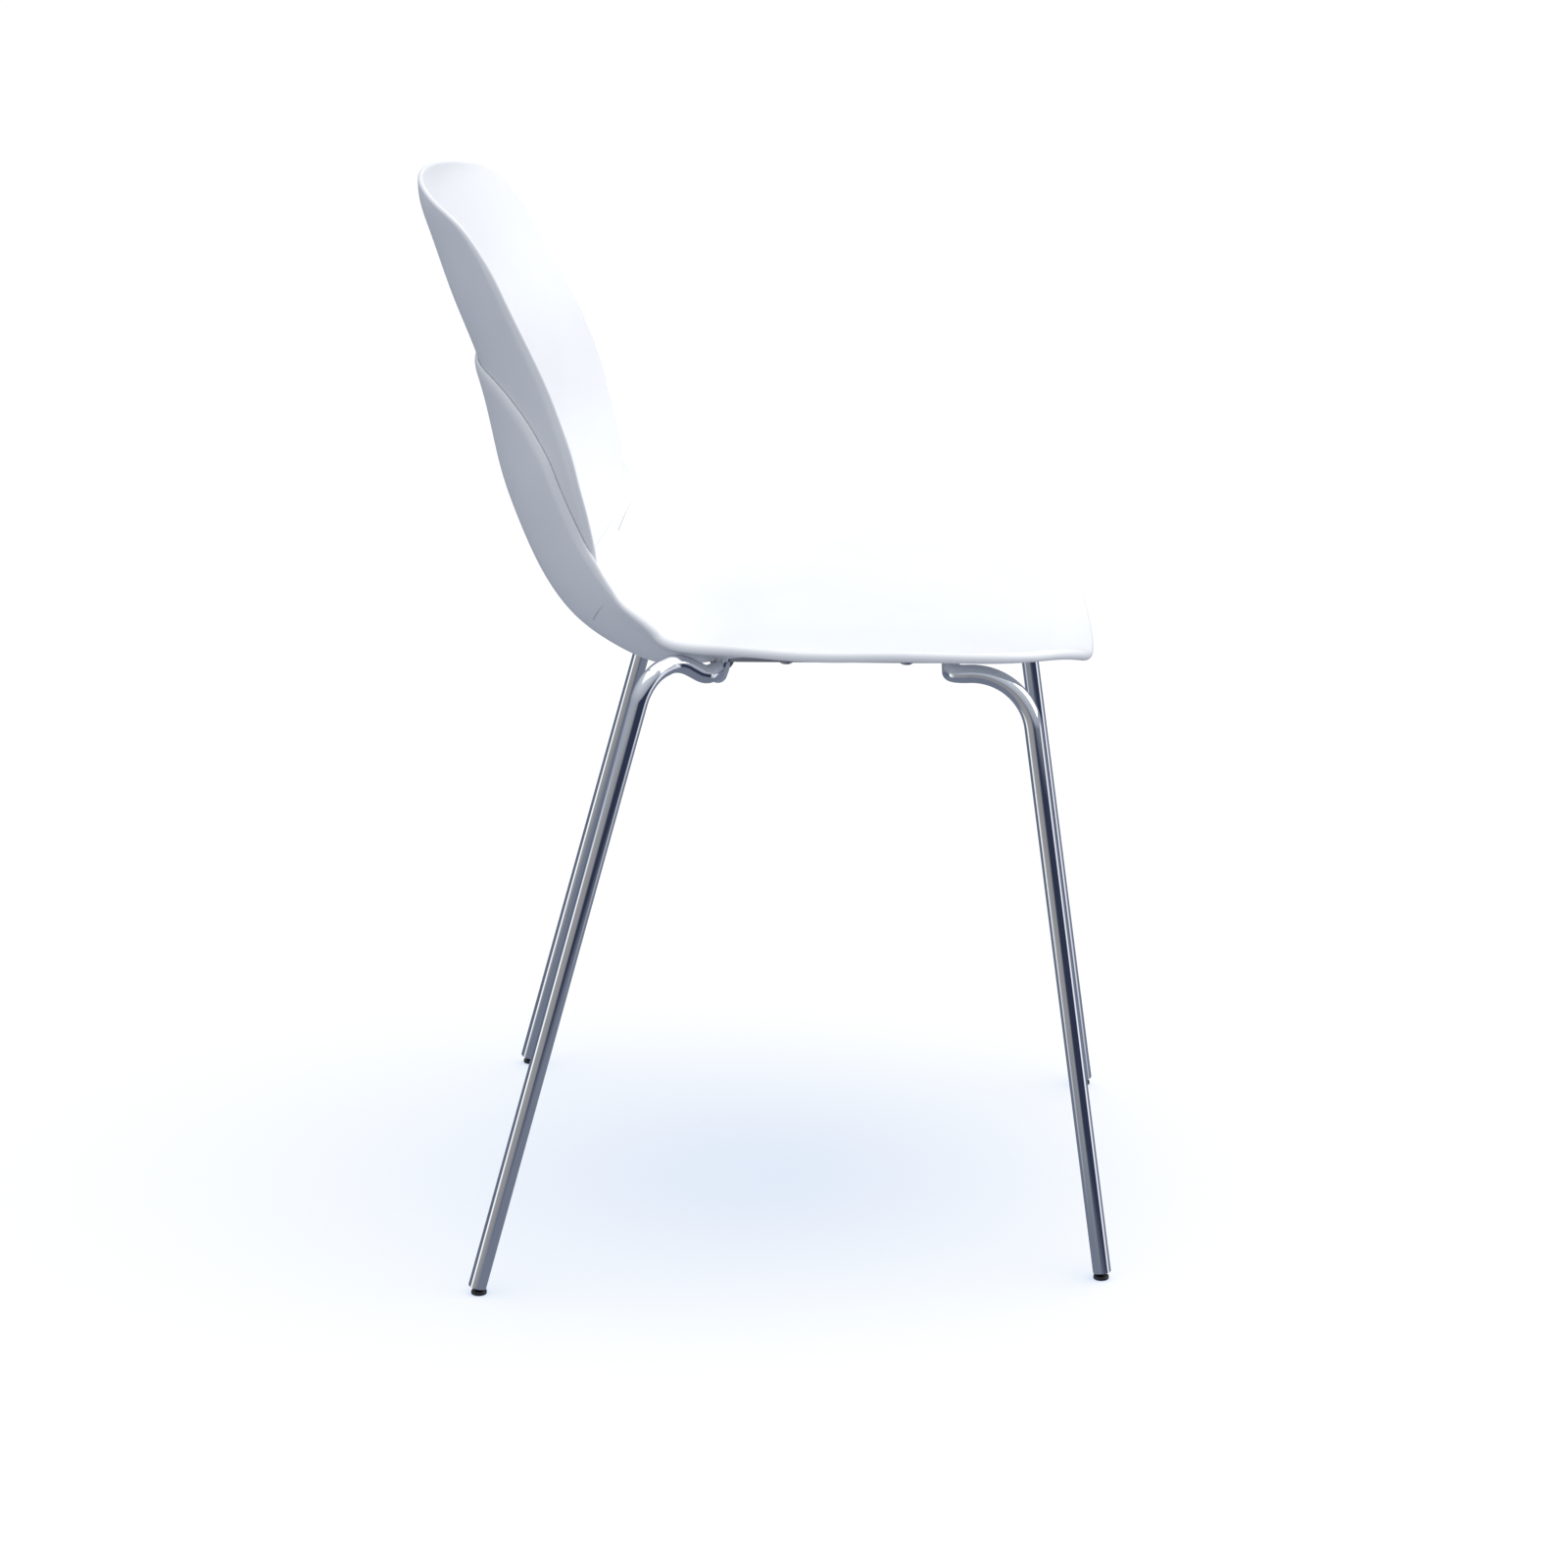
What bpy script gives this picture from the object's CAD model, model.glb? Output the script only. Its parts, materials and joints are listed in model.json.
import json
import math

import bmesh
import bpy
import numpy as np
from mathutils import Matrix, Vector


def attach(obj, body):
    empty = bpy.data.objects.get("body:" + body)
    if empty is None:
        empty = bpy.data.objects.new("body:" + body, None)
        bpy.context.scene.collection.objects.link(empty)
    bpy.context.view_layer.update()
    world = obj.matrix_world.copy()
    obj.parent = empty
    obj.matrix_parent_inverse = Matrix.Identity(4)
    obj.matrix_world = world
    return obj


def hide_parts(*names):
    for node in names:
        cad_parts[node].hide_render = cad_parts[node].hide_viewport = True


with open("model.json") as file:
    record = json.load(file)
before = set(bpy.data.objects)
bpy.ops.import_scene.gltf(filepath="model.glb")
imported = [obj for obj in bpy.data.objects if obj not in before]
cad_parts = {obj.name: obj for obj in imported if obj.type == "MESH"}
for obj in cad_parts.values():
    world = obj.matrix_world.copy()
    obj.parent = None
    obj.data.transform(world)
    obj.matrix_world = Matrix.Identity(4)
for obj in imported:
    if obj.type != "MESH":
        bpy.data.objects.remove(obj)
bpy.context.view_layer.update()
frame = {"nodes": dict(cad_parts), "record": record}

# Stacking chair: a two-piece moulded shell on two bent chromed tubes.
# Metres, +Z up, the chair's front is -Y and the sitter's left is +X.

MM = 0.001
CHAIR = "chair"

# --- shell ----------------------------------------------------------------------

# Centre line (y, z) in mm, from the seat's front lip to above the top of the back.
SHELL_SPINE = [(-248, 439.5), (-232, 448.5), (-202, 454), (-150, 457), (-60, 457), (20, 450),
               (75, 440.5), (115, 453.5), (142.5, 471.5), (164, 497.5), (182.5, 535), (196, 573),
               (204.5, 611), (215, 651.5), (235.5, 705), (252, 754), (259, 779), (259.5, 792),
               (258, 812)]
# How far the shell rises at LIFT_WIDTH from the centre line: (length along the spine, rise), mm.
LIFT_WIDTH = 170.0
SHELL_LIFT = [(0, 28), (15, 25), (45, 18.5), (90, 14.2), (160, 14), (225, 14.5), (281, 23),
              (338, 38.5), (413, 53.5), (489, 61.7), (564, 61.6), (661, 64.5), (772, 66)]
# How square the cross-section is: (length along the spine, power of the width).
SHELL_POWER = [(0, 2.4), (225, 2.8), (316, 3.4), (413, 2.8), (526, 2.3), (772, 2.1)]
# Right half of each outline, mm: (half width, length along the spine).
SEAT_OUTLINE = [(0, 0), (50, 2.5), (94, 10), (129, 22), (155, 37), (176, 55), (189, 74), (196, 98),
                (199.5, 124), (200.5, 177), (199, 233), (196.5, 271), (191, 297), (186, 323),
                (182, 358), (178, 384), (176, 407), (171.5, 433), (168.5, 449.5), (165.5, 462),
                (162, 481), (159, 503.5), (156, 526), (152, 543), (145, 556), (134, 570),
                (118, 583), (97, 594), (60, 602), (0, 606)]
BACK_OUTLINE = [(0, 408), (50, 408), (100, 408), (130, 408.5), (146, 413), (155, 424), (161, 436),
                (165.5, 450), (168.5, 468), (171.5, 493), (173, 522), (173, 548), (169.5, 571),
                (166, 589), (161.5, 608), (157.5, 628), (153.5, 652), (149, 675), (143.5, 690),
                (136, 704), (124, 719), (107, 732), (80, 741), (45, 745.5), (0, 747)]
SEAT_THICKNESS = 4.3
SEAT_RIM_THICKNESS = 8.0
SEAT_RIM_WIDTH = 24.0
SEAT_RIM_FADE = (330.0, 430.0)
BACK_THICKNESS = 4.0
LAP_GAP = 0.3
OUTLINE_STEPS = 200
# How far from each end of the outline the spokes' centres stay, as a share of its half width.
SPOKE_MARGIN = 0.45
RINGS = 40
RIM_BAND = 24.0
BAND_RINGS = 10
RIM_ARC_STEPS = 16
# Rim profiles, mm: (length, width of the front rounding, width of the back rounding,
# share of the thickness that the front rounding takes).
SEAT_RIM = [(0, 4, 4, 0.5), (400, 2.4, 2.4, 0.5), (440, 0.7, 6, 0.18), (475, 0.6, 9, 0.15),
            (606, 0.6, 10, 0.15)]
BACK_RIM = [(408, 1.5, 2, 0.45), (450, 1.0, 4, 0.3), (500, 0.8, 8, 0.22), (560, 0.8, 10, 0.2),
            (620, 0.8, 10, 0.2), (680, 1.0, 7, 0.25), (720, 1.6, 2.5, 0.45), (747, 1.8, 2.2, 0.5)]


class Spline:
    """Natural cubic spline through values given at rising stations."""

    def __init__(self, stations, values):
        self.stations = np.array(stations, float)
        self.values = np.array(values, float)
        count = len(stations)
        gaps = np.diff(self.stations)
        bends = np.zeros((count, count))
        right = np.zeros(count)
        bends[0, 0] = bends[-1, -1] = 1.0
        for i in range(1, count - 1):
            bends[i, i - 1:i + 2] = gaps[i - 1], 2 * (gaps[i - 1] + gaps[i]), gaps[i]
            rise = self.values[i + 1] - self.values[i]
            rise_before = self.values[i] - self.values[i - 1]
            right[i] = 6 * (rise / gaps[i] - rise_before / gaps[i - 1])
        self.second = np.linalg.solve(bends, right)

    def span(self, station):
        i = np.clip(np.searchsorted(self.stations, station) - 1, 0, len(self.stations) - 2)
        gap = self.stations[i + 1] - self.stations[i]
        return i, gap, (self.stations[i + 1] - station) / gap, (station - self.stations[i]) / gap

    def at(self, station):
        i, gap, a, b = self.span(station)
        bend = (a ** 3 - a) * self.second[i] + (b ** 3 - b) * self.second[i + 1]
        return a * self.values[i] + b * self.values[i + 1] + bend * gap * gap / 6

    def slope(self, station):
        i, gap, a, b = self.span(station)
        bend = (3 * b * b - 1) * self.second[i + 1] - (3 * a * a - 1) * self.second[i]
        return (self.values[i + 1] - self.values[i]) / gap + bend * gap / 6


def polyline_stations(points):
    steps = np.linalg.norm(np.diff(np.array(points, float), axis=0), axis=1)
    return np.concatenate([[0.0], np.cumsum(steps)])


def smooth_step(value):
    value = np.clip(value, 0.0, 1.0)
    return value * value * (3 - 2 * value)


def unit(vectors):
    return vectors / np.linalg.norm(vectors, axis=-1, keepdims=True)


SPINE_STATIONS = polyline_stations(SHELL_SPINE)
SPINE_Y = Spline(SPINE_STATIONS, [p[0] for p in SHELL_SPINE])
SPINE_Z = Spline(SPINE_STATIONS, [p[1] for p in SHELL_SPINE])
LIFT = Spline(*zip(*SHELL_LIFT))
POWER = Spline(*zip(*SHELL_POWER))


def shell_point(length, x):
    """Points of the lap surface between the two shell pieces, mm."""
    slope_y, slope_z = SPINE_Y.slope(length), SPINE_Z.slope(length)
    size = np.hypot(slope_y, slope_z)
    lift = LIFT.at(length) * (np.abs(x) / LIFT_WIDTH) ** POWER.at(length)
    y = SPINE_Y.at(length) - slope_z / size * lift
    z = SPINE_Z.at(length) + slope_y / size * lift
    return np.stack([x + 0 * y, y, z], axis=-1)


def shell_slopes(length, x):
    """Change of the lap surface along the spine and across it."""
    step = 0.05
    along = (shell_point(length + step, x) - shell_point(length - step, x)) / (2 * step)
    across = (shell_point(length, x + step) - shell_point(length, x - step)) / (2 * step)
    return along, across


def offset_point(length, x, distance):
    along, across = shell_slopes(length, x)
    normal = unit(np.cross(across, along))
    return shell_point(length, x) + normal * np.asarray(distance)[..., None]


def outline_points(half, count):
    """(x, length) at even stations along the right half of a mirrored outline."""
    mirrored_start = [(-x, a) for x, a in half[2:0:-1]]
    mirrored_end = [(-x, a) for x, a in half[-2:-4:-1]]
    points = mirrored_start + half + mirrored_end
    stations = polyline_stations(points)
    t = np.linspace(stations[2], stations[-3], count)
    x = Spline(stations, [p[0] for p in points])
    length = Spline(stations, [p[1] for p in points])
    slopes = np.stack([x.slope(t), length.slope(t)], axis=-1)
    places = np.stack([x.at(t), length.at(t)], axis=-1)
    places[[0, -1], 0] = 0.0
    return places, slopes


def inward_steps(places, slopes):
    """Change of (x, length) for a millimetre's walk over the shell, square to the outline."""
    x, length = places[:, 0], places[:, 1]
    along, across = shell_slopes(length, x)
    tangent = unit(slopes[:, :1] * across + slopes[:, 1:] * along)
    normal = unit(np.cross(across, along))
    inward = np.cross(normal, tangent)
    metric = np.stack([across, along], axis=-1)
    steps = np.stack([np.linalg.lstsq(m, v, rcond=None)[0] for m, v in zip(metric, inward)])
    middle = places.mean(0)
    flip = np.sum(steps * (np.array([0.0, middle[1]]) - places), axis=1).sum() < 0
    return -steps if flip else steps


def rim_profile(table, length):
    """Widths of the front and back roundings and the front's share of the thickness."""
    stations = [row[0] for row in table]
    return [np.interp(length, stations, [row[k] for row in table]) for k in (1, 2, 3)]


def shell_mesh(half, front_offset, back_offset, rim_table):
    """Closed mesh of a shell piece: spokes from the centre line to a rounded rim."""
    places, slopes = outline_points(half, OUTLINE_STEPS + 1)
    inward = inward_steps(places, slopes)
    share = np.linspace(0, 1, OUTLINE_STEPS + 1)
    low, high = places[0, 1], places[-1, 1]
    margin = np.abs(places[:, 0]).max() * SPOKE_MARGIN
    along_share = (places[:, 1] - low) / (high - low)
    centre = low + margin + (high - low - 2 * margin) * (share + along_share) / 2
    centres = np.stack([0 * centre, centre], axis=-1)
    band = places + inward * RIM_BAND
    front_width, back_width, front_share = rim_profile(rim_table, places[:, 1])

    def flat_rows(offset, width):
        rows = []
        for s in np.arange(RINGS) / RINGS:
            ring = centres * (1 - s) + band * s
            rows.append(offset_point(ring[:, 1], ring[:, 0], offset(ring[:, 1], 0 * share + RIM_BAND)))
        for s in np.arange(BAND_RINGS) / BAND_RINGS:
            inset = RIM_BAND * (1 - s) + width * s
            ring = places + inward * inset[:, None]
            rows.append(offset_point(ring[:, 1], ring[:, 0], offset(ring[:, 1], inset)))
        return rows

    rows = flat_rows(front_offset, front_width)
    for angle in np.linspace(0, math.pi, RIM_ARC_STEPS + 1):
        on_front = angle < math.pi / 2
        inset = (front_width if on_front else back_width) * (1 - math.sin(angle))
        ring = places + inward * inset[:, None]
        front, back = front_offset(ring[:, 1], inset), back_offset(ring[:, 1], inset)
        ridge = front + (back - front) * front_share
        reach = front - ridge if on_front else ridge - back
        rows.append(offset_point(ring[:, 1], ring[:, 0], ridge + reach * math.cos(angle)))
    rows += reversed(flat_rows(back_offset, back_width))
    return mirrored_grid(np.array(rows) * MM)


def mirrored_grid(rows):
    """Vertices and quads of a grid, and of its mirror image in X, joined on the centre plane."""
    count, width = rows.shape[:2]
    right = rows.reshape(-1, 3)
    left = right * np.array([-1.0, 1.0, 1.0])
    vertices = np.concatenate([right, left])
    faces = []
    for k in range(count - 1):
        for i in range(width - 1):
            a, b = k * width + i, (k + 1) * width + i
            faces.append((a, b, b + 1, a + 1))
            faces.append(tuple(len(right) + v for v in (a + 1, b + 1, b, a)))
    return vertices, faces


def seat_front(length, inset):
    return 0 * length - LAP_GAP / 2


def seat_back(length, inset):
    start, end = SEAT_RIM_FADE
    fade = 1 - smooth_step((length - start) / (end - start))
    swell = smooth_step(1 - inset / SEAT_RIM_WIDTH) * fade
    return -LAP_GAP / 2 - SEAT_THICKNESS - (SEAT_RIM_THICKNESS - SEAT_THICKNESS) * swell


def back_front(length, inset):
    return 0 * length + LAP_GAP / 2 + BACK_THICKNESS


def back_back(length, inset):
    return 0 * length + LAP_GAP / 2


# --- pieces -----------------------------------------------------------------------

WELD_DISTANCE = 1e-6


def add_piece(name, vertices, faces, material, body, slot, replaced):
    """A smooth-shaded mesh object that rides on a body."""
    mesh = bpy.data.meshes.new(name)
    mesh.from_pydata([tuple(v) for v in vertices], [], faces)
    obj = bpy.data.objects.new(name, mesh)
    bpy.context.scene.collection.objects.link(obj)
    weld_and_face_out(mesh)
    mesh.shade_smooth()
    mesh.materials.append(material)
    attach(obj, body)
    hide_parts(*replaced)


def weld_and_face_out(mesh):
    """Joins doubled vertices and turns every face outwards."""
    work = bmesh.new()
    work.from_mesh(mesh)
    bmesh.ops.remove_doubles(work, verts=work.verts, dist=WELD_DISTANCE)
    bmesh.ops.recalc_face_normals(work, faces=work.faces)
    work.to_mesh(mesh)
    work.free()


# Legs: corners of the right half of each tube and its bend radii, mm.
TUBE_RADIUS = 6.75
TUBE_BORE = 5.5
LEG_END_HEIGHT = 5.4
FRONT_PATH = [(-213, -254.3, 0), (-168.4, -192.2, 455), (-163, -137.5, 451.5), (-92, -137.5, 444.5)]
FRONT_BENDS = [45, 13, 60]
REAR_PATH = [(-254, 210, 0), (-217, 82.5, 462), (-189, 60.5, 467.8), (-182, 41, 454.8),
             (-172, 34, 454.8), (-124, 34, 440), (-75, 34, 432)]
REAR_BENDS = [28, 25, 12, 16, 60, 60]
ARC_STEP = math.radians(3)
TUBE_SIDES = 48
LIP = 0.4
LIP_STEPS = 6


def tube_route(half, bends):
    """Points and directions along a tube: straight runs joined by tangent arcs."""
    right = [np.array(p, float) for p in half]
    axis = unit(right[1] - right[0])
    right[0] = right[0] + axis * (LEG_END_HEIGHT / axis[2])
    corners = right + [p * np.array([-1, 1, 1]) for p in reversed(right)]
    radii = bends + bends[::-1]
    points, directions = [corners[0]], [unit(corners[1] - corners[0])]
    for before, corner, after, radius in zip(corners, corners[1:], corners[2:], radii):
        incoming, outgoing = unit(corner - before), unit(after - corner)
        turn = math.acos(float(np.clip(incoming @ outgoing, -1, 1)))
        inward = unit(outgoing - incoming)
        centre = corner + inward * (radius / math.cos(turn / 2))
        steps = max(2, math.ceil(turn / ARC_STEP))
        side = unit(np.cross(incoming, outgoing))
        arm = corner - incoming * (radius * math.tan(turn / 2)) - centre
        for k in range(steps + 1):
            angle = turn * k / steps
            swung = arm * math.cos(angle) + np.cross(side, arm) * math.sin(angle)
            points.append(centre + swung)
            directions.append(incoming * math.cos(angle) + np.cross(side, incoming) * math.sin(angle))
    points.append(corners[-1])
    directions.append(unit(corners[-1] - corners[-2]))
    return np.array(points), np.array(directions)


def tube_rings(points, directions, radius, sides):
    """Rings of points round a route, without twist."""
    across = unit(np.cross(directions[0], [0.0, 1.0, 0.0]))
    rings = []
    for point, direction in zip(points, directions):
        across = unit(across - direction * (across @ direction))
        up = np.cross(direction, across)
        angles = 2 * math.pi * np.arange(sides) / sides
        rings.append(point + radius * (np.cos(angles)[:, None] * across + np.sin(angles)[:, None] * up))
    return rings


def loft(rings, closed_ring=False):
    """Quads between rings of equal count, optionally from the last ring back to the first."""
    sides = len(rings[0])
    vertices = np.concatenate(rings)
    faces = []
    spans = len(rings) if closed_ring else len(rings) - 1
    for k in range(spans):
        a0, b0 = k * sides, (k + 1) % len(rings) * sides
        for i in range(sides):
            j = (i + 1) % sides
            faces.append((a0 + i, a0 + j, b0 + j, b0 + i))
    return vertices, faces


def tube_mesh(half, bends):
    """Closed mesh of a hollow tube: outside, one end, inside, the other end."""
    points, directions = tube_route(half, bends)
    outer = tube_rings(points, directions, TUBE_RADIUS, TUBE_SIDES)
    inner = tube_rings(points, directions, TUBE_BORE, TUBE_SIDES)
    start = lip_rings(outer[0], directions[0])
    end = lip_rings(outer[-1], -directions[-1])
    rings = start[::-1] + outer[1:-1] + end + inner[-2:0:-1]
    return loft([r * MM for r in rings], closed_ring=True)


def lip_rings(outer, direction):
    """The rounded end of a tube wall, from outside to inside."""
    wall = TUBE_RADIUS - TUBE_BORE
    centre = outer.mean(0)
    rings = []
    for k in range(LIP_STEPS + 1):
        angle = math.pi * k / LIP_STEPS
        radius = (TUBE_RADIUS + TUBE_BORE) / 2 + wall / 2 * math.cos(angle)
        back = LIP * (1 - math.sin(angle))
        rings.append(centre + (outer - centre) * (radius / TUBE_RADIUS) + direction * back)
    return rings


# --- screw bosses, under the seat and one with it ---------------------------------------

BOSS_RADIUS = 8.0
BOSS_BORE = 3.5
BOSS_FOOT = 441.0
BOSS_BORE_TOP = 450.0
BOSS_TOP = 454.0
BOSS_FLARE = 3.0
BOSS_FLARE_STEPS = 6
BOSS_SINK = 2.0
BOSS_ROUNDING = 0.5
BOSS_AXIS_RADIUS = 0.01
BOSS_SIDES = 40
SCREW_PLACES = [(x, y) for x in (-70.0, 70.0) for y in (-105.0, -15.0)]


def boss_profile():
    """(radius, height) from the roof of the bore, round the foot, to the flare in the shell."""
    profile = [(BOSS_AXIS_RADIUS, BOSS_BORE_TOP), (BOSS_BORE, BOSS_BORE_TOP),
               (BOSS_BORE, BOSS_FOOT + BOSS_ROUNDING),
               (BOSS_BORE + BOSS_ROUNDING, BOSS_FOOT), (BOSS_RADIUS - BOSS_ROUNDING, BOSS_FOOT),
               (BOSS_RADIUS, BOSS_FOOT + BOSS_ROUNDING)]
    for turn in np.linspace(0, math.pi / 2, BOSS_FLARE_STEPS + 1):
        profile.append((BOSS_RADIUS + BOSS_FLARE * (1 - math.cos(turn)),
                        BOSS_TOP - BOSS_SINK - BOSS_FLARE * (1 - math.sin(turn))))
    profile += [(BOSS_RADIUS + BOSS_FLARE, BOSS_TOP), (BOSS_AXIS_RADIUS, BOSS_TOP)]
    return profile


def turned_rings(profile, centre, sides):
    """Rings of a turned shape about a vertical axis."""
    angles = 2 * math.pi * np.arange(sides) / sides
    circle = np.stack([np.cos(angles), np.sin(angles), 0 * angles], axis=-1)
    return [np.array([*centre, height]) + radius * circle for radius, height in profile]


def with_bosses(vertices, faces):
    """The seat's mesh with its four screw bosses added."""
    for place in SCREW_PLACES:
        rings = [ring * MM for ring in turned_rings(boss_profile(), place, BOSS_SIDES)]
        extra_vertices, extra_faces = loft(rings, closed_ring=True)
        start = len(vertices)
        vertices = np.concatenate([vertices, extra_vertices])
        faces = faces + [tuple(start + v for v in face) for face in extra_faces]
    return vertices, faces


# --- materials ----------------------------------------------------------------------

# The part of a noise's range that carries most of its detail.
NOISE_LOW = 0.3
NOISE_HIGH = 0.7


class Tree:
    """Shortcuts for adding nodes and links to a node tree."""

    def add(self, kind, **settings):
        node = self.tree.nodes.new(kind)
        for key, value in settings.items():
            setattr(node, key, value)
        return node

    def link(self, source, target):
        self.tree.links.new(source, target)


class Nodes(Tree):
    """A new node material with a few shortcuts."""

    def __init__(self, name):
        self.material = bpy.data.materials.new(name)
        self.material.use_nodes = True
        self.tree = self.material.node_tree
        self.shader = self.tree.nodes["Principled BSDF"]

    def noise(self, scale, detail=4.0, roughness=0.5, stretch=(1, 1, 1)):
        place = self.add("ShaderNodeTexCoord")
        mapping = self.add("ShaderNodeMapping")
        mapping.inputs["Scale"].default_value = stretch
        texture = self.add("ShaderNodeTexNoise")
        texture.inputs["Scale"].default_value = scale
        texture.inputs["Detail"].default_value = detail
        texture.inputs["Roughness"].default_value = roughness
        self.link(place.outputs["Object"], mapping.inputs["Vector"])
        self.link(mapping.outputs["Vector"], texture.inputs["Vector"])
        return texture.outputs["Fac"]

    def colour_between(self, factor, low, high):
        ramp = self.add("ShaderNodeValToRGB")
        ramp.color_ramp.elements[0].color = (*low, 1)
        ramp.color_ramp.elements[0].position = NOISE_LOW
        ramp.color_ramp.elements[1].color = (*high, 1)
        ramp.color_ramp.elements[1].position = NOISE_HIGH
        self.link(factor, ramp.inputs["Fac"])
        self.link(ramp.outputs["Color"], self.shader.inputs["Base Color"])

    def roughness_between(self, factor, low, high):
        spread = self.add("ShaderNodeMapRange")
        spread.inputs["From Min"].default_value = NOISE_LOW
        spread.inputs["From Max"].default_value = NOISE_HIGH
        spread.inputs["To Min"].default_value = low
        spread.inputs["To Max"].default_value = high
        self.link(factor, spread.inputs["Value"])
        self.link(spread.outputs["Result"], self.shader.inputs["Roughness"])

    def bump(self, height, distance, strength=1.0):
        bump = self.add("ShaderNodeBump")
        bump.inputs["Distance"].default_value = distance
        bump.inputs["Strength"].default_value = strength
        self.link(height, bump.inputs["Height"])
        self.link(bump.outputs["Normal"], self.shader.inputs["Normal"])


def shell_plastic():
    """White polypropylene with a fine moulded grain."""
    nodes = Nodes("white_polypropylene")
    nodes.colour_between(nodes.noise(9.0, 3.0), (0.83, 0.835, 0.85), (0.87, 0.875, 0.885))
    nodes.roughness_between(nodes.noise(40.0, 5.0), 0.30, 0.38)
    nodes.bump(nodes.noise(1400.0, 2.0), 0.00004, 0.25)
    nodes.shader.inputs["IOR"].default_value = 1.49
    return nodes.material


def chrome_plate():
    """Polished chrome on steel tube, with faint smears."""
    nodes = Nodes("polished_chrome")
    nodes.shader.inputs["Metallic"].default_value = 1.0
    nodes.colour_between(nodes.noise(14.0, 4.0), (0.70, 0.72, 0.76), (0.76, 0.78, 0.81))
    nodes.roughness_between(nodes.noise(60.0, 6.0), 0.04, 0.09)
    nodes.bump(nodes.noise(350.0, 3.0, stretch=(1, 1, 0.15)), 0.00003, 0.15)
    return nodes.material


def nylon():
    nodes = Nodes("black_nylon")
    nodes.colour_between(nodes.noise(120.0, 4.0), (0.010, 0.010, 0.012), (0.020, 0.020, 0.022))
    nodes.roughness_between(nodes.noise(500.0, 4.0), 0.38, 0.5)
    nodes.bump(nodes.noise(2500.0, 2.0), 0.00005, 0.3)
    return nodes.material


def grey_rubber():
    nodes = Nodes("grey_elastomer")
    nodes.colour_between(nodes.noise(150.0, 4.0), (0.16, 0.165, 0.17), (0.21, 0.215, 0.22))
    nodes.roughness_between(nodes.noise(600.0, 4.0), 0.45, 0.6)
    nodes.bump(nodes.noise(2200.0, 2.0), 0.00006, 0.35)
    return nodes.material


def zinc_plate():
    nodes = Nodes("zinc_plated_steel")
    nodes.shader.inputs["Metallic"].default_value = 1.0
    nodes.colour_between(nodes.noise(300.0, 4.0), (0.45, 0.47, 0.50), (0.58, 0.60, 0.62))
    nodes.roughness_between(nodes.noise(900.0, 4.0), 0.25, 0.42)
    nodes.bump(nodes.noise(3000.0, 2.0), 0.00003, 0.3)
    return nodes.material


def brass():
    nodes = Nodes("turned_brass")
    nodes.shader.inputs["Metallic"].default_value = 1.0
    nodes.colour_between(nodes.noise(300.0, 4.0), (0.62, 0.44, 0.18), (0.72, 0.53, 0.24))
    nodes.roughness_between(nodes.noise(900.0, 4.0), 0.22, 0.35)
    nodes.bump(nodes.noise(3000.0, 2.0), 0.00003, 0.3)
    return nodes.material


MATERIALS = {"white_shell": shell_plastic(), "chrome_tube": chrome_plate(), "black_nylon": nylon(),
             "grey_clip": grey_rubber(), "zinc_steel": zinc_plate(), "brass_insert": brass()}


def dress_cad_nodes():
    """Every CAD node that stays gets its slot's procedural material."""
    for part in frame["record"]["subparts"]:
        node = frame["nodes"][part["node"]]
        node.data.materials.clear()
        node.data.materials.append(MATERIALS[part["material_slot"]])


# --- the chair ------------------------------------------------------------------------

dress_cad_nodes()

seat = with_bosses(*shell_mesh(SEAT_OUTLINE, seat_front, seat_back, SEAT_RIM))
add_piece("moulded_seat", *seat, MATERIALS["white_shell"], CHAIR, "white_shell", ["seat_shell"])
back = shell_mesh(BACK_OUTLINE, back_front, back_back, BACK_RIM)
add_piece("moulded_back", *back, MATERIALS["white_shell"], CHAIR, "white_shell", ["back_shell"])
for end, half, bends in (("front", FRONT_PATH, FRONT_BENDS), ("rear", REAR_PATH, REAR_BENDS)):
    tube = tube_mesh(half, bends)
    add_piece(end + "_leg_tube", *tube, MATERIALS["chrome_tube"], CHAIR, "chrome_tube",
              [end + "_leg_frame"])

# --- stage ------------------------------------------------------------------------------

CAMERA_PLACE = (-3.6101, -0.1047, 1.3851)
CAMERA_YAW = 0.025817
CAMERA_PITCH = 0.287007
LENS = 112.5
SENSOR_WIDTH = 36.0
FLOOR_REACH = 12.0
DOME_RADIUS = 30.0
DOME_GLOW = 1.2
# Soft square lights: (name, place, target, size, power, colour).
LIGHTS = [("overhead", (0.0, 0.0, 3.2), (0.0, 0.0, 0.0), 4.0, 34.0, (1.0, 0.97, 0.94)),
          ("front", (0.3, -3.2, 2.4), (0.0, 0.0, 0.5), 3.0, 71.0, (1.0, 0.99, 0.96))]


def stage_plane(name, reach, z, material):
    mesh = bpy.data.meshes.new(name)
    corners = [(-reach, -reach, z), (reach, -reach, z), (reach, reach, z), (-reach, reach, z)]
    mesh.from_pydata(corners, [], [(0, 1, 2, 3)])
    obj = bpy.data.objects.new(name, mesh)
    bpy.context.scene.collection.objects.link(obj)
    mesh.materials.append(material)
    return obj


# The floor's own pale blue glow, and its reflectance under a soft sun that lights it alone:
# together white, and bluer in shade.
FLOOR_GLOW = (0.495, 0.62, 0.85)
FLOOR_REFLECTANCE = (0.313, 0.24, 0.104)
FLOOR_SUN_STRENGTH = 3.2
FLOOR_SUN_ANGLE = math.radians(58)
FLOOR_SUN_TILT = math.radians(8)


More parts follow.
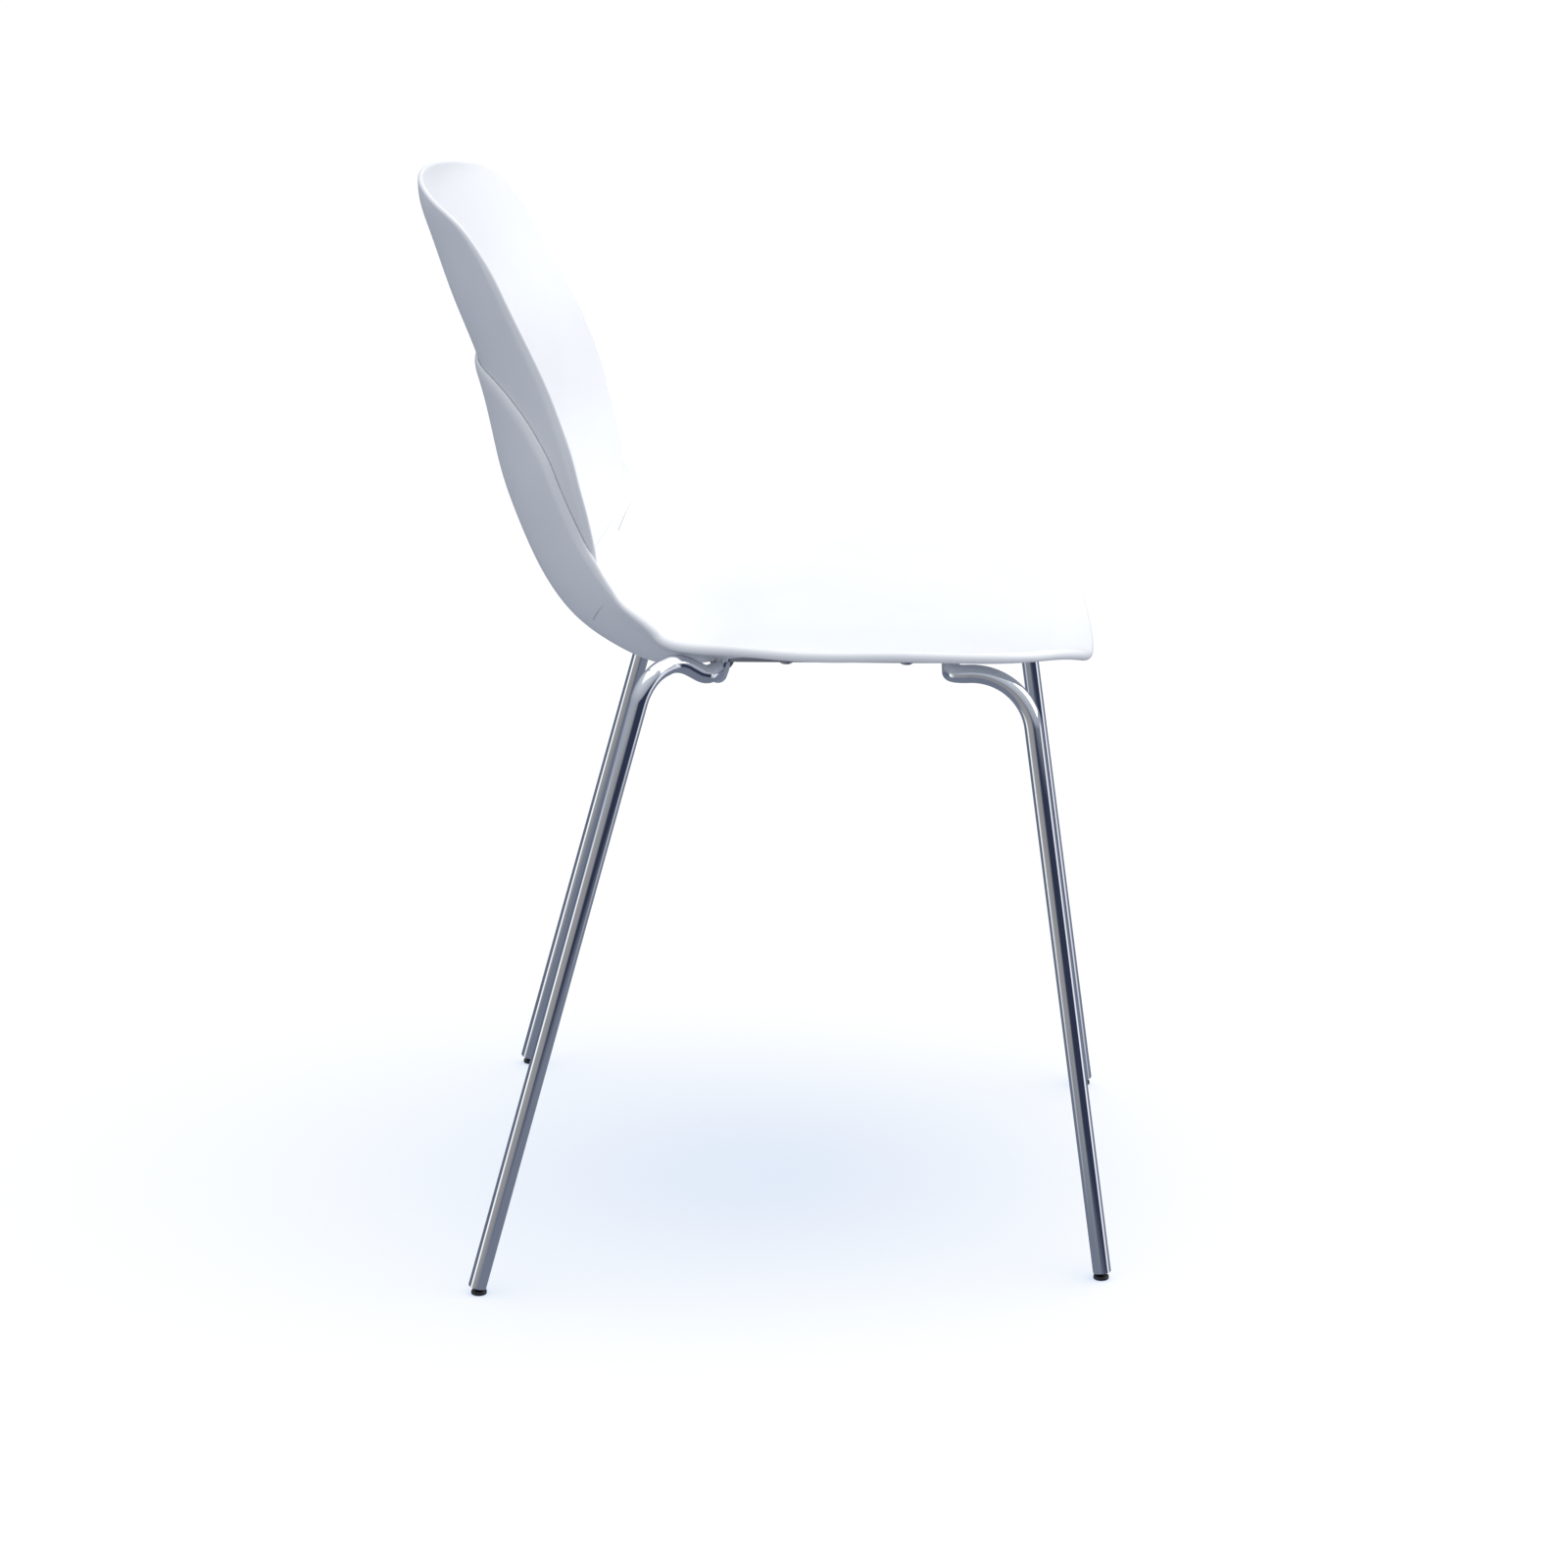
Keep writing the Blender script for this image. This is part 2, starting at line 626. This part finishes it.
def floor_material():
    """Pale matt floor, clear when seen from below."""
    nodes = Nodes("pale_floor")
    diffuse = nodes.add("ShaderNodeBsdfDiffuse")
    diffuse.inputs["Color"].default_value = (*FLOOR_REFLECTANCE, 1)
    glow = nodes.add("ShaderNodeEmission")
    glow.inputs["Color"].default_value = (*FLOOR_GLOW, 1)
    total = nodes.add("ShaderNodeAddShader")
    nodes.link(diffuse.outputs["BSDF"], total.inputs[0])
    nodes.link(glow.outputs["Emission"], total.inputs[1])
    geometry = nodes.add("ShaderNodeNewGeometry")
    clear = nodes.add("ShaderNodeBsdfTransparent")
    mix = nodes.add("ShaderNodeMixShader")
    nodes.link(geometry.outputs["Backfacing"], mix.inputs["Fac"])
    nodes.link(total.outputs["Shader"], mix.inputs[1])
    nodes.link(clear.outputs["BSDF"], mix.inputs[2])
    nodes.link(mix.outputs["Shader"], nodes.tree.nodes["Material Output"].inputs["Surface"])
    return nodes.material


def only_seen_by_camera(obj):
    obj.visible_diffuse = False
    obj.visible_glossy = False
    obj.visible_transmission = False
    obj.visible_volume_scatter = False
    obj.visible_shadow = False


def add_dome():
    """White surroundings that only the camera sees."""
    nodes = Nodes("white_surroundings")
    glow = nodes.add("ShaderNodeEmission")
    glow.inputs["Strength"].default_value = DOME_GLOW
    nodes.link(glow.outputs["Emission"], nodes.tree.nodes["Material Output"].inputs["Surface"])
    mesh = bpy.data.meshes.new("surroundings")
    work = bmesh.new()
    bmesh.ops.create_icosphere(work, subdivisions=3, radius=DOME_RADIUS)
    work.to_mesh(mesh)
    work.free()
    mesh.materials.append(nodes.material)
    dome = bpy.data.objects.new("surroundings", mesh)
    bpy.context.scene.collection.objects.link(dome)
    only_seen_by_camera(dome)


def add_light(name, place, target, size, power, colour, unlit):
    """A soft square light that leaves one stage object alone."""
    light = bpy.data.lights.new(name, "AREA")
    light.size = size
    light.energy = power
    light.color = colour
    obj = bpy.data.objects.new(name, light)
    obj.location = place
    aim = Vector(target) - Vector(place)
    obj.rotation_mode = "QUATERNION"
    obj.rotation_quaternion = aim.to_track_quat("-Z", "Y")
    bpy.context.scene.collection.objects.link(obj)
    obj.visible_camera = False
    receivers = bpy.data.collections.new(name + "_receivers")
    obj.light_linking.receiver_collection = receivers
    receivers.objects.link(unlit)
    receivers.collection_objects[0].light_linking.link_state = "EXCLUDE"


def add_floor_sun(floor):
    """A very soft sun that lights the floor alone, for the shadow under the chair."""
    light = bpy.data.lights.new("floor_sun", "SUN")
    light.energy = FLOOR_SUN_STRENGTH
    light.angle = FLOOR_SUN_ANGLE
    obj = bpy.data.objects.new("floor_sun", light)
    obj.rotation_euler = (FLOOR_SUN_TILT, 0.0, 0.0)
    bpy.context.scene.collection.objects.link(obj)
    receivers = bpy.data.collections.new("floor_sun_receivers")
    receivers.objects.link(floor)
    obj.light_linking.receiver_collection = receivers


# Ambient light by height: (height of the direction, colour).
AMBIENT = [(-1.0, (0.42, 0.45, 0.52)), (-0.1, (0.39, 0.42, 0.49)), (0.15, (0.45, 0.48, 0.54)),
           (1.0, (0.88, 0.92, 0.98))]
# What polished metal mirrors near the horizon, by turn from the viewing side towards the
# chair's front: (turn in degrees, colour).
MIRRORED = [(-180, (0.20, 0.23, 0.30)), (-96, (0.13, 0.16, 0.23)), (-89, (1.3, 1.3, 1.3)),
            (-76, (1.3, 1.3, 1.25)), (-68, (0.40, 0.40, 0.41)), (-12, (0.34, 0.34, 0.35)),
            (4, (0.035, 0.045, 0.085)), (78, (0.035, 0.045, 0.085)), (88, (1.2, 1.2, 1.25)),
            (102, (1.1, 1.1, 1.2)), (112, (0.22, 0.25, 0.33)), (180, (0.20, 0.23, 0.30))]
MIRRORED_FLOOR = (0.21, 0.24, 0.31)
MIRRORED_FLOOR_HEIGHTS = (-0.62, -0.42)
MIRRORED_SKY_HEIGHTS = (-0.06, 0.06)


class WorldNodes(Tree):
    """Shortcuts for the world's node tree."""

    def __init__(self, world):
        world.use_nodes = True
        self.tree = world.node_tree
        self.background = self.tree.nodes["Background"]

    def math(self, operation, first, second):
        node = self.add("ShaderNodeMath", operation=operation)
        for socket, value in zip(node.inputs, (first, second)):
            if isinstance(value, (int, float)):
                socket.default_value = value
            else:
                self.link(value, socket)
        return node.outputs["Value"]

    def ranged(self, value, low, high):
        node = self.add("ShaderNodeMapRange")
        node.inputs["From Min"].default_value = low
        node.inputs["From Max"].default_value = high
        self.link(value, node.inputs["Value"])
        return node.outputs["Result"]

    def ramp(self, value, low, high, stops):
        node = self.add("ShaderNodeValToRGB")
        elements = node.color_ramp.elements
        for element, (place, colour) in zip(elements, (stops[0], stops[-1])):
            element.position = (place - low) / (high - low)
            element.color = (*colour, 1)
        for place, colour in stops[1:-1]:
            element = elements.new((place - low) / (high - low))
            element.color = (*colour, 1)
        self.link(self.ranged(value, low, high), node.inputs["Fac"])
        return node.outputs["Color"]

    def mixed(self, factor, first, second):
        node = self.add("ShaderNodeMix", data_type="RGBA")
        self.link(factor, node.inputs[0])
        for socket, value in ((node.inputs[6], first), (node.inputs[7], second)):
            if isinstance(value, tuple):
                socket.default_value = (*value, 1)
            else:
                self.link(value, socket)
        return node.outputs[2]


def add_world():
    """Cool ambient light, brighter overhead, and the studio that polished metal mirrors."""
    world = bpy.data.worlds.new("studio")
    bpy.context.scene.world = world
    nodes = WorldNodes(world)
    place = nodes.add("ShaderNodeTexCoord")
    split = nodes.add("ShaderNodeSeparateXYZ")
    nodes.link(place.outputs["Generated"], split.inputs["Vector"])
    height = split.outputs["Z"]
    ambient = nodes.ramp(height, -1.0, 1.0, AMBIENT)
    away = nodes.math("MULTIPLY", split.outputs["X"], -1.0)
    frontwards = nodes.math("MULTIPLY", split.outputs["Y"], -1.0)
    turn = nodes.math("MULTIPLY", nodes.math("ARCTAN2", frontwards, away), math.degrees(1))
    bands = nodes.ramp(turn, -180, 180, MIRRORED)
    mirrored = nodes.mixed(nodes.ranged(height, *MIRRORED_FLOOR_HEIGHTS), MIRRORED_FLOOR, bands)
    mirrored = nodes.mixed(nodes.ranged(height, *MIRRORED_SKY_HEIGHTS), mirrored, ambient)
    rays = nodes.add("ShaderNodeLightPath")
    seen = nodes.mixed(rays.outputs["Is Glossy Ray"], ambient, mirrored)
    nodes.link(seen, nodes.background.inputs["Color"])


def add_camera():
    """The camera, level across the picture and tipped down by its pitch."""
    camera = bpy.data.cameras.new("camera")
    camera.lens = LENS
    camera.sensor_width = SENSOR_WIDTH
    obj = bpy.data.objects.new("camera", camera)
    obj.location = CAMERA_PLACE
    aim = Vector((math.cos(CAMERA_PITCH) * math.cos(CAMERA_YAW),
                  math.cos(CAMERA_PITCH) * math.sin(CAMERA_YAW), -math.sin(CAMERA_PITCH)))
    obj.rotation_mode = "QUATERNION"
    obj.rotation_quaternion = aim.to_track_quat("-Z", "Y")
    bpy.context.scene.collection.objects.link(obj)
    bpy.context.scene.camera = obj


floor = stage_plane("floor", FLOOR_REACH, 0.0, floor_material())
only_seen_by_camera(floor)
add_dome()
add_world()
for light in LIGHTS:
    add_light(*light, floor)
add_floor_sun(floor)
add_camera()
bpy.context.scene.view_settings.view_transform = "Standard"
